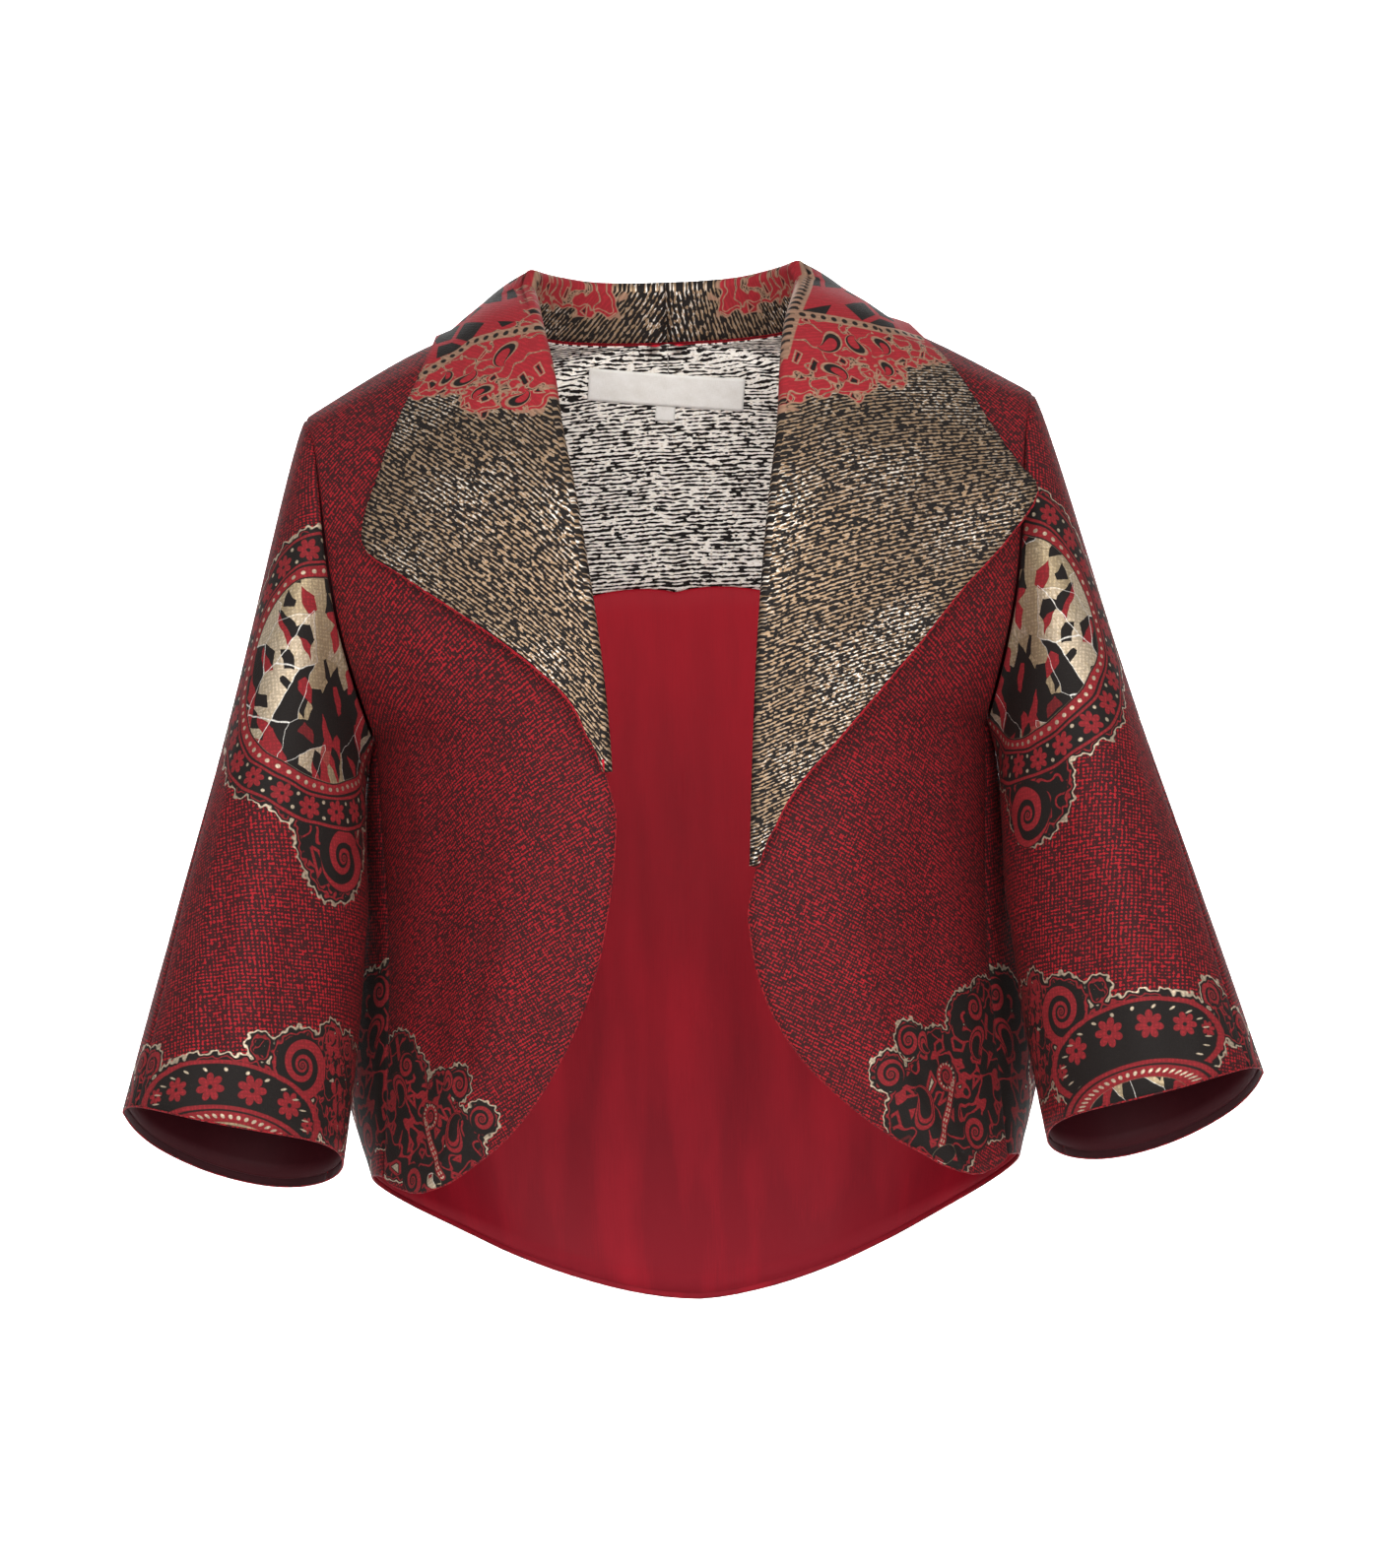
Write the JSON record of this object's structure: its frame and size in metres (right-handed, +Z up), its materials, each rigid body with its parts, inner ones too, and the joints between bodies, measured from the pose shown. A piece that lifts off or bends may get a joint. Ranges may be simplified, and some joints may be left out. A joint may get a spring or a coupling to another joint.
{
  "type": "open-front bolero jacket",
  "caption": "Cropped open-front jacket filled out as worn, with wide turned-back lapels, a short collar stand, wide three-quarter sleeves, cutaway fronts and a rounded back hem.",
  "frame": {"origin": "midway between the two neck points, at the height of the neck points and on the line of the shoulder seams: where the wearer's shoulders hold the jacket up", "axes": "+Z up, -Y to the front of the jacket, +X to the wearer's left, with the sleeves spread along X"},
  "size_m": [0.6028, 0.2674, 0.5822],
  "materials": {
    "brocade_red": "woven brocade, red crossed with maroon, paisley borders on black",
    "brocade_gold": "woven brocade, old gold with fine black slubs, slightly metallic",
    "lame_gold": "bright metallic weave with black slubs",
    "lining_red": "satin lining, crimson",
    "lining_maroon": "satin lining, dark red",
    "label_cream": "plain woven tape"
  },
  "bodies": {
    "root": {"back": "brocade_red", "front_left": "brocade_red", "front_right": "brocade_red", "sleeve_front_left": "brocade_red", "sleeve_back_left": "brocade_red", "sleeve_front_right": "brocade_red", "sleeve_back_right": "brocade_red", "facing_left": "brocade_gold", "facing_right": "brocade_gold", "back_neck_facing": "lame_gold", "back_lining": "lining_red", "sleeve_lining_left": "lining_maroon", "sleeve_lining_right": "lining_maroon", "label": "label_cream", "size_tag": "label_cream"}
  },
  "joints": []
}
